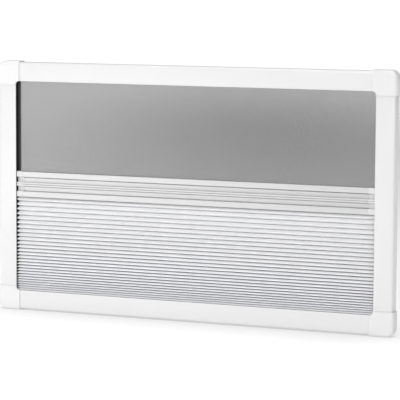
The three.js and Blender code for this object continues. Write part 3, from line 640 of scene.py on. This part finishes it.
# A shadow groove runs along the recess of each bar at the foot of its ridge. The blind bar also has
# a slot under its lip, into its chamber.
def makeBars():
    for kind, sign in (("screen", 1), ("blind", -1)):
        body = kind + "_pull_bar"
        start = window["meeting"] + sign * window["gap"] / 2
        floor = window["frontY"] + pullBar["recessFloor"]
        end = pullBar["halfLength"] + cutOver
        feet = [(window["barHeight"] - pullBar["ridge"], -sign, pullBar["ridgeGroove"][kind])]
        if kind == "blind":
            feet.append((pullBar["lip"], sign, pullBar["lipGroove"]))
        grooves = []
        for outward, turn, (wide, deep) in feet:
            foot = start + sign * outward
            low, high = sorted((foot, foot + turn * wide))
            grooves.append(((-end, floor - cutOver, low), (end, floor + deep, high)))
        refine(kind + "_bar", anodised, body, "bar_aluminium", grooves, ease=0)
        for side in ("left", "right"):
            refine(f"{kind}_bar_cap_{side}", capAbs, body, "cap_grey", ease=0)
    for side in ("left", "right"):
        refine("latch_magnet_" + side, zincSteel, "screen_pull_bar", "bare_steel", ease=0.15)
        refine("latch_plate_" + side, zincSteel, "blind_pull_bar", "bare_steel", ease=0.15)


makeBars()
print("bars made")

# Fly screen
screen = {
    "width": 832.0,
    "bottom": 29.25,  # its lower edge, on the welt
    "bend": 232.6,
    "rollerHeight": 249.5,
    "rollerRear": 20.85,  # where it meets the winding
    "pitch": screenPitch,
    "thread": 0.4,
    "travel": 196.0,
}


# Warp threads along the modifier's own curve, one every pitch, and weft threads across them.
def screenTree():
    tree, given = newTree("wovenScreen", {"Width": "Float", "Pitch": "Float", "Thread": "Float"})
    radius = addNode(tree, "ShaderNodeMath", {"operation": "MULTIPLY"}, {
        0: given["Thread"], 1: 0.5})
    ring = addNode(tree, "GeometryNodeCurvePrimitiveCircle", inputs={
        "Resolution": 4, "Radius": radius.outputs[0]})
    warp = addNode(tree, "GeometryNodeCurveToMesh", inputs={
        "Curve": given["Geometry"], "Profile Curve": ring.outputs["Curve"], "Fill Caps": True})
    half = addNode(tree, "ShaderNodeMath", {"operation": "MULTIPLY"}, {0: given["Width"], 1: 0.5})
    minus = addNode(tree, "ShaderNodeMath", {"operation": "MULTIPLY"}, {
        0: half.outputs[0], 1: -1.0})
    spaces = addNode(tree, "ShaderNodeMath", {"operation": "DIVIDE"}, {
        0: given["Width"], 1: given["Pitch"]})
    left = addNode(tree, "ShaderNodeCombineXYZ", inputs={"X": minus.outputs[0]})
    right = addNode(tree, "ShaderNodeCombineXYZ", inputs={"X": half.outputs[0]})
    row = addNode(tree, "GeometryNodeMeshLine", {"mode": "END_POINTS"}, {
        "Count": spaces.outputs[0], "Start Location": left.outputs[0], "Offset": right.outputs[0]})
    warps = addNode(tree, "GeometryNodeInstanceOnPoints", inputs={
        "Points": row.outputs["Mesh"], "Instance": warp.outputs["Mesh"]})
    heights = addNode(tree, "GeometryNodeResampleCurve", {"mode": "LENGTH"}, {
        "Curve": given["Geometry"], "Length": given["Pitch"]})
    line = addNode(tree, "GeometryNodeCurvePrimitiveLine", inputs={
        "Start": left.outputs[0], "End": right.outputs[0]})
    weft = addNode(tree, "GeometryNodeCurveToMesh", inputs={
        "Curve": line.outputs["Curve"], "Profile Curve": ring.outputs["Curve"], "Fill Caps": True})
    wefts = addNode(tree, "GeometryNodeInstanceOnPoints", inputs={
        "Points": heights.outputs["Curve"], "Instance": weft.outputs["Mesh"]})
    both = addNode(tree, "GeometryNodeJoinGeometry")
    tree.links.new(warps.outputs["Instances"], both.inputs["Geometry"])
    tree.links.new(wefts.outputs["Instances"], both.inputs["Geometry"])
    return endTree(tree, both.outputs["Geometry"], yarn)


def pathCurve(name, points):
    data = bpy.data.curves.new(name, "CURVE")
    data.dimensions = "3D"
    spline = data.splines.new("POLY")
    spline.points.add(len(points) - 1)
    for knot, place in zip(spline.points, points):
        knot.co = (*metres(place), 1)
    return showObject(name, data)


# The net hangs upright as far as the slot. The rest slopes back to the roller.
def makeScreen():
    plane = window["frontY"] + window["fabricDepth"]
    low, bend = (0, plane, screen["bottom"]), (0, plane, screen["bend"])
    high = (0, window["frontY"] + screen["rollerRear"], screen["rollerHeight"])
    tree = screenTree()
    nets = []
    for name, path in (("fly-screen", (low, bend)), ("fly-screen-top", (bend, high))):
        net = grow(name, pathCurve("screenPath", path), tree, {
            "Width": screen["width"] * 0.001, "Pitch": screen["pitch"] * 0.001,
            "Thread": screen["thread"] * 0.001})
        nets.append(settle(net, "frame", "screen_mesh", "fly_screen"))
    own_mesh(nets[0])


makeScreen()
print("fly screen made")

# Pleated blind
pleats = {
    "halfWidth": 409.0,
    "panel": pleatCloth["panel"],
    "topPitch": 10.9,
    "pitchStep": 0.25,  # the pitch falls by this much from each pleat to the next
    "visible": 27,
    "hidden": 8,
    "clampTop": -264.3,
    "cords": (-window["cordAcross"], 0.0, window["cordAcross"]),
    "holeRadius": 1.1,
    "holeCell": 2.2,  # half the side of the square of cloth round a hole
    "thickness": 0.3,
    "foldEase": 0.22,  # each fold is pressed to a small round
    "foldDegrees": 60,  # sharper bends than this are folds
    "uneven": 0.12,  # how far a front fold strays from its place
    "seed": 11,
    "floor": -264.0,
    "travel": 205.0,
}


def foldHeights():
    heights = [barBottom - window["gap"]]
    for pleat in range(pleats["visible"]):
        heights.append(heights[-1] - pleats["topPitch"] + pleats["pitchStep"] * pleat)
    last = pleats["clampTop"] + window["gap"] + pleats["thickness"]
    step = (heights[-1] - last) / pleats["hidden"]
    for pleat in range(pleats["hidden"]):
        heights.append(heights[-1] - step)
    return heights


# Each panel is a flat strip with a round hole for every cord, so the cord passes clean through.
def makePleats():
    heights = foldHeights()
    rear = window["fabricDepth"] - pleats["thickness"] / 2
    folds = [(rear, heights[0])]
    hand = random.Random(pleats["seed"])
    for upper, lower in zip(heights, heights[1:]):
        reach = math.sqrt(pleats["panel"] ** 2 - ((upper - lower) / 2) ** 2)
        stray = hand.uniform(-pleats["uneven"], pleats["uneven"])
        folds.append((rear - reach, (upper + lower) / 2 + stray))
        folds.append((rear, lower))
    cell = pleats["holeCell"]
    points, faces, uvs = [], [], []

    def corner(across, share, fold):
        (d0, z0), (d1, z1) = folds[fold], folds[fold + 1]
        points.append((across, window["frontY"] + d0 + (d1 - d0) * share, z0 + (z1 - z0) * share))
        uvs.append((across * 0.001, (fold + share) * pleats["panel"] * 0.001))
        return len(points) - 1

    edges = [-pleats["halfWidth"]]
    for cord in pleats["cords"]:
        edges += [cord - cell, cord + cell]
    edges.append(pleats["halfWidth"])
    for fold in range(len(folds) - 1):
        d0, d1 = folds[fold][0], folds[fold + 1][0]
        middle = (window["cordDepth"] - d0) / (d1 - d0)
        low, high = middle - cell / pleats["panel"], middle + cell / pleats["panel"]
        for start, end in zip(edges[::2], edges[1::2]):
            shares = [0, low, high, 1]
            for first, second in zip(shares, shares[1:]):
                faces.append([corner(start, first, fold), corner(end, first, fold),
                              corner(end, second, fold), corner(start, second, fold)])
        for cord in pleats["cords"]:
            left, right = cord - cell, cord + cell
            for first, second in ((0, low), (high, 1)):
                faces.append([corner(left, first, fold), corner(cord, first, fold),
                              corner(right, first, fold), corner(right, second, fold),
                              corner(cord, second, fold), corner(left, second, fold)])
            square = [(right, middle), (right, high), (cord, high), (left, high), (left, middle),
                      (left, low), (cord, low), (right, low)]
            rim = []
            for turn in range(len(square)):
                angle = 2 * math.pi * turn / len(square)
                rim.append((cord + pleats["holeRadius"] * math.cos(angle),
                            middle + pleats["holeRadius"] * math.sin(angle) / pleats["panel"]))
            for turn in range(len(square)):
                after = (turn + 1) % len(square)
                faces.append([corner(*square[turn], fold), corner(*square[after], fold),
                              corner(*rim[after], fold), corner(*rim[turn], fold)])
    cloth = makeObject("pleated-blind", points, faces, polyester, "cloth", uvs)
    easeEdges(cloth, pleats["foldEase"], degrees=pleats["foldDegrees"])
    thicken(cloth, pleats["thickness"])
    bakeModifiers(cloth)
    smoothSides(cloth, degrees=pleats["foldDegrees"])
    settle(cloth, "frame", "pleat_fabric", "pleated_blind")
    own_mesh(cloth)


makePleats()
print("pleated blind made")

# Roller: the wound part of the screen, and the pieces that carry it
roll = {
    "axisDepth": 12.5,
    "innerRadius": 6.45,
    "outerRadius": 7.35,
    "turns": 3.5,
    "stepsPerTurn": 28,
    "cloth": 0.22,  # thickness of a turn, which leaves a little air to the next
}


# The screen's wound turns, one spiral band from the tube out to where the screen leaves it.
def makeRoll():
    half = screen["width"] / 2
    steps = round(roll["turns"] * roll["stepsPerTurn"])
    points, faces, uvs = [], [], []
    length = 0.0
    for step in range(steps + 1):
        share = step / steps
        radius = roll["innerRadius"] + (roll["outerRadius"] - roll["innerRadius"]) * share
        angle = 2 * math.pi * roll["turns"] * (share - 1)
        depth = window["frontY"] + roll["axisDepth"] + radius * math.cos(angle)
        height = screen["rollerHeight"] + radius * math.sin(angle)
        for across in (-half, half):
            points.append((across, depth, height))
            uvs.append((across * 0.001, length * 0.001))
        length += radius * 2 * math.pi * roll["turns"] / steps
        if step:
            last = len(points) - 1
            faces.append((last - 3, last - 2, last, last - 1))
    band = makeObject("screen-winding", points, faces, woundScreen, "cloth", uvs)
    thicken(band, roll["cloth"])
    bakeModifiers(band)
    smoothSides(band, degrees=40)
    settle(band, "roller", "screen_mesh", "screen_winding")


def makeRollerParts():
    for side in ("left", "right"):
        refine("roller_bracket_" + side, pvcUpright, "frame", "frame_white", ease=0.3)
    refine("roller_tube", millAluminium, "roller", "tube_aluminium", ease=0.15)
    for plug in ("spring_plug", "idle_plug"):
        refine(plug, blackNylon, "roller", "black_plastic", ease=0.2)


makeRoll()
makeRollerParts()
print("roller made")

# Brush along the slot that the screen leaves by
brush = {
    "halfWidth": 416.0,
    "front": 9.2,
    "foot": 13.2,  # the pile stands out of this face of the backing
    "tip": 16.2,
    "bottom": 231.1,
    "height": 2.0,
    "ease": 0.4,
    "pile": 1.0,
    "rooted": 0.5,  # length of a fibre inside the backing
    "endInset": 1.0,
    "fibre": 0.12,
    "spacing": 0.8,
    "scatter": 0.25,  # of a fibre's place along its row, in spacings
    "rows": 3,
    "rowInset": 0.7,  # from the pile's edges to the first and last row, in rows
    "lean": ((-1.64, -0.06, 0.0), (-1.5, 0.06, 2.0)),  # least and most turn, in radians
    "scatterSeed": 3,
    "leanSeed": 5,
}


# A row of tapered fibres along X, each turned a little at random.
def brushTree():
    tree, given = newTree("brushRow", {"Length": "Float", "Radius": "Float"})
    thin = addNode(tree, "ShaderNodeMath", {"operation": "MULTIPLY"}, {0: given["Radius"], 1: 0.5})
    fibre = addNode(tree, "GeometryNodeMeshCone", inputs={
        "Vertices": 3, "Radius Top": thin.outputs[0], "Radius Bottom": given["Radius"],
        "Depth": given["Length"]})
    least, most = brush["lean"]
    lean = addNode(tree, "FunctionNodeRandomValue", {"data_type": "FLOAT_VECTOR"}, {
        "Min": least, "Max": most, "Seed": brush["leanSeed"]})
    row = addNode(tree, "GeometryNodeInstanceOnPoints", inputs={
        "Points": given["Geometry"], "Instance": fibre.outputs["Mesh"],
        "Rotation": lean.outputs["Value"]})
    return endTree(tree, row.outputs["Instances"], brushFibre)


def makeBrush():
    hand = random.Random(brush["scatterSeed"])
    root = brush["foot"] - brush["rooted"]
    length = brush["tip"] - root
    scatter, spacing = brush["scatter"], brush["spacing"]
    reach = brush["halfWidth"] - brush["endInset"]
    rowSpace = brush["pile"] / (brush["rows"] - 1 + 2 * brush["rowInset"])
    middles = []
    for row in range(brush["rows"]):
        height = brush["bottom"] + rowSpace * (brush["rowInset"] + row)
        for step in range(int(2 * reach / spacing)):
            across = (step + hand.uniform(-scatter, scatter)) * spacing - reach
            middles.append((across, window["frontY"] + root + length / 2, height))
    pile = grow("slot-brush-pile", makeObject("fibreMiddles", middles, []), brushTree(), {
        "Length": length * 0.001, "Radius": brush["fibre"] / 2 * 0.001})
    settle(pile, "frame", "brush_pile", "slot_brush")
    low = (-brush["halfWidth"], window["frontY"] + brush["front"], brush["bottom"])
    high = (brush["halfWidth"], window["frontY"] + brush["foot"], brush["bottom"] + brush["height"])
    backing = boxObject("slot-brush-backing", low, high)
    backing.data.materials.append(blackNylon)
    easeEdges(backing, brush["ease"], segments=3)
    bakeModifiers(backing)
    smoothSides(backing)
    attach(backing, "frame")


makeBrush()
print("brush made")

# Guide cords
cords = {
    "radius": 0.5,
    "sides": 10,
    "curveSteps": 5,  # from one knot of a curved route to the next
    "straightSteps": 30,
    "bend": 2.0,
    "bottom": -266.2,
    "outerRun": -19.55,  # heights of the runs inside the blind bar
    "middleRun": -15.05,
    "spigot": 385.3,  # from here a cord leaves the bar's chamber
    "capInner": 395.3,  # and from here it bends back to the side groove
    "side": 419.6,  # of the cords in the side grooves, from the middle
    "outerSideDepth": 15.6,
    "middleSideDepth": 18.0,
    "tongueTop": 2.45,
    "hookBottom": 230.8,
}


# A curve through points, which doesn't swing out where a long stretch follows a short one.
def smoothPath(points):
    path, steps = [], cords["curveSteps"]
    knots = [2 * points[0] - points[1], *points, 2 * points[-1] - points[-2]]
    for before, start, end, after in zip(knots, knots[1:], knots[2:], knots[3:]):
        spans = (start - before, end - start, after - end)
        d0, d1, d2 = (math.sqrt(span.length) for span in spans)
        leave = ((start - before) / d0 - (end - before) / (d0 + d1) + (end - start) / d1) * d1
        arrive = ((end - start) / d1 - (after - start) / (d1 + d2) + (after - end) / d2) * d1
        for step in range(steps):
            t = step / steps
            path.append(start * (1 + t ** 2 * (2 * t - 3)) + end * t ** 2 * (3 - 2 * t)
                        + leave * t * (1 - t) ** 2 - arrive * t ** 2 * (1 - t))
    path.append(points[-1])
    return path


# A closed round tube along a path that starts upright, its UV map in metres round and along it.
def sweepCord(name, path):
    points, faces, uvs = [], [], []
    sides, radius = cords["sides"], cords["radius"]
    along = 0.0
    across = Vector((1, 0, 0))
    for at, place in enumerate(path):
        ahead = (path[min(at + 1, len(path) - 1)] - path[max(at - 1, 0)]).normalized()
        across = (across - ahead * across.dot(ahead)).normalized()
        other = ahead.cross(across)
        if at:
            along += (place - path[at - 1]).length
        for side in range(sides):
            turn = 2 * math.pi * side / sides
            points.append(place + radius * (math.cos(turn) * across + math.sin(turn) * other))
            uvs.append((turn * radius * 0.001, along * 0.001))
            if at:
                here, after = at * sides + side, at * sides + (side + 1) % sides
                faces.append((here - sides, after - sides, after, here))
    faces.append(tuple(range(sides)))
    faces.append(tuple(range(len(points) - sides, len(points))))
    return smoothSides(makeObject(name, points, faces, cordBraid, "cord", uvs), degrees=50)


def straightPath(across, depth, low, high):
    y, steps = window["frontY"] + depth, cords["straightSteps"]
    return [Vector((across, y, low + (high - low) * step / steps)) for step in range(steps + 1)]


# A cord's run in the blind bar: up through its floor, along its chamber, out through the cap and up
# inside the guide tongue.
def barRoute(sign, start, run, sideDepth):
    bend, depth, side = cords["bend"], window["cordDepth"], cords["side"]
    crossing = side - cords["capInner"]
    places = [
        (start, depth, barBottom),
        (start, depth, run - bend),
        (start + bend, depth, run),
        (start + 2 * bend, depth, run),
        (cords["spigot"], depth, run),
        (cords["capInner"], depth, run),
        (cords["capInner"] + crossing / 3, (2 * depth + sideDepth) / 3, run),
        (cords["capInner"] + 2 * crossing / 3, sideDepth, run),
        (side - bend, sideDepth, run),
        (side, sideDepth, run + bend),
        (side, sideDepth, run + 2 * bend),
        (side, sideDepth, cords["tongueTop"]),
    ]
    return smoothPath([Vector((sign * x, window["frontY"] + d, z)) for x, d, z in places])


def makeCords():
    reach = window["cordAcross"]
    outer, middle = cords["outerSideDepth"], cords["middleSideDepth"]
    routes = {
        "left": (-1, reach, cords["outerRun"], outer),
        "middle": (1, 0.0, cords["middleRun"], middle),
        "right": (1, reach, cords["outerRun"], outer),
    }
    for name, (sign, start, run, sideDepth) in routes.items():
        top = barBottom - window["gap"]
        path = straightPath(sign * start, window["cordDepth"], cords["bottom"], top)
        guide = sweepCord("guide-cord-" + name, path)
        settle(guide, "frame", "cord_braid", "guide_cord_" + name)
        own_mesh(guide)
        inner = sweepCord("bar-cord-" + name, barRoute(sign, start, run, sideDepth))
        settle(inner, "blind_pull_bar", "cord_braid", "bar_cord_" + name)
        low, high = cords["tongueTop"] + window["gap"], cords["hookBottom"]
        path = straightPath(sign * cords["side"], sideDepth, low, high)
        side = sweepCord("side-cord-" + name, path)
        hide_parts("side_cord_" + name)
        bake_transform(side)


def makeCordParts():
    for side in ("left", "middle", "right"):
        refine("cord_anchor_" + side, capAbs, "frame", "cap_grey", ease=0.15)
    for side in ("left", "right"):
        refine("cord_hook_" + side, capAbs, "frame", "cap_grey", ease=0.3)
    refine("blind_clamp_strip", blackNylon, "frame", "black_plastic", ease=0.3)


makeCords()
makeCordParts()
print("cords made")

# Key screws, driven in from the rear through the profiles into the corner keys
screw = {
    "flat": 25.85,  # depth of the head's flat
    "head": 3.0,  # radius, as the next two
    "shank": 1.5,
    "root": 1.15,
    "rim": (0.12, 0.15),  # the head's edge is eased by this much inward and down
    "cone": 1.6,
    "length": 13.0,
    "threadPitch": 1.2,
    "sides": 24,
    "crossArm": 1.7,
    "crossWidth": 0.9,
    "crossDepth": 1.2,
    "turn": 6.28,  # each stands at its own angle, up to a full turn
    "turnSeed": 2,
    "places": ((424.9, 264.9), (445.9, 203.9)),  # across and up, in each corner
}


# One screw with its head's flat at y = 0, facing +Y: a turned outline with its thread as ridges,
# and a cross recess.
def screwObject():
    head, shank, root, pitch = (screw[k] for k in ("head", "shank", "root", "threadPitch"))
    inward, down = screw["rim"]
    outline = [(head - inward, 0.0), (head, down), (shank, screw["cone"])]
    along = screw["cone"] + pitch
    while along < screw["length"] - 2 * pitch:
        outline += [(root, along), (shank, along + pitch / 2)]
        along += pitch
    outline += [(root, along), (root, screw["length"] - shank)]
    sides = screw["sides"]
    points = [(0.0, 0.0, 0.0)]
    for radius, deep in outline:
        for side in range(sides):
            turn = 2 * math.pi * side / sides
            points.append((radius * math.cos(turn), -deep, radius * math.sin(turn)))
    points.append((0.0, -screw["length"], 0.0))
    last = len(points) - 1
    faces = []
    for side in range(sides):
        after = (side + 1) % sides
        faces.append((0, 1 + side, 1 + after))
        faces.append((last, last - sides + after, last - sides + side))
        for ring in range(len(outline) - 1):
            near, far = 1 + ring * sides, 1 + (ring + 1) * sides
            faces.append((near + side, near + after, far + after, far + side))
    obj = makeObject("keyScrew", points, faces)
    arm, half, deep = screw["crossArm"], screw["crossWidth"] / 2, screw["crossDepth"]
    cutGrooves(obj, [((-arm, -deep, -half), (arm, cutOver, half)),
                     ((-half, -deep, -arm), (half, cutOver, arm))])
    return smoothSides(obj, degrees=35)


def screwTree():
    tree, given = newTree("screwsInPlace", {"Screw": "Object"})
    shape = addNode(tree, "GeometryNodeObjectInfo", inputs={"Object": given["Screw"]})
    turn = addNode(tree, "FunctionNodeRandomValue", {"data_type": "FLOAT_VECTOR"}, {
        "Min": (0.0, 0.0, 0.0), "Max": (0.0, screw["turn"], 0.0), "Seed": screw["turnSeed"]})
    row = addNode(tree, "GeometryNodeInstanceOnPoints", inputs={
        "Points": given["Geometry"], "Instance": shape.outputs["Geometry"],
        "Rotation": turn.outputs["Value"]})
    return endTree(tree, row.outputs["Instances"], zincSteel)


def makeScrews():
    y = window["frontY"] + screw["flat"]
    places = [(sx * x, y, sz * z) for x, z in screw["places"] for sx in (-1, 1) for sz in (-1, 1)]
    one = screwObject()
    screws = grow("key-screws", makeObject("screwPlaces", places, []), screwTree(), {"Screw": one})
    bpy.data.objects.remove(one)
    nodes = [f"key_screw_{corner}_{letter}" for corner in cornerNames for letter in "ab"]
    settle(screws, "frame", "bare_steel", *nodes)


makeScrews()
print("screws made")

# What stays as the CAD has it, in its real finish
keptNodes = {"spring_rod": zincSteel, "roller_spring": springSteel, "screen_welt": blackNylon}
for node, material in keptNodes.items():
    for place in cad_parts[node].material_slots:
        place.material = material
print("kept nodes finished")
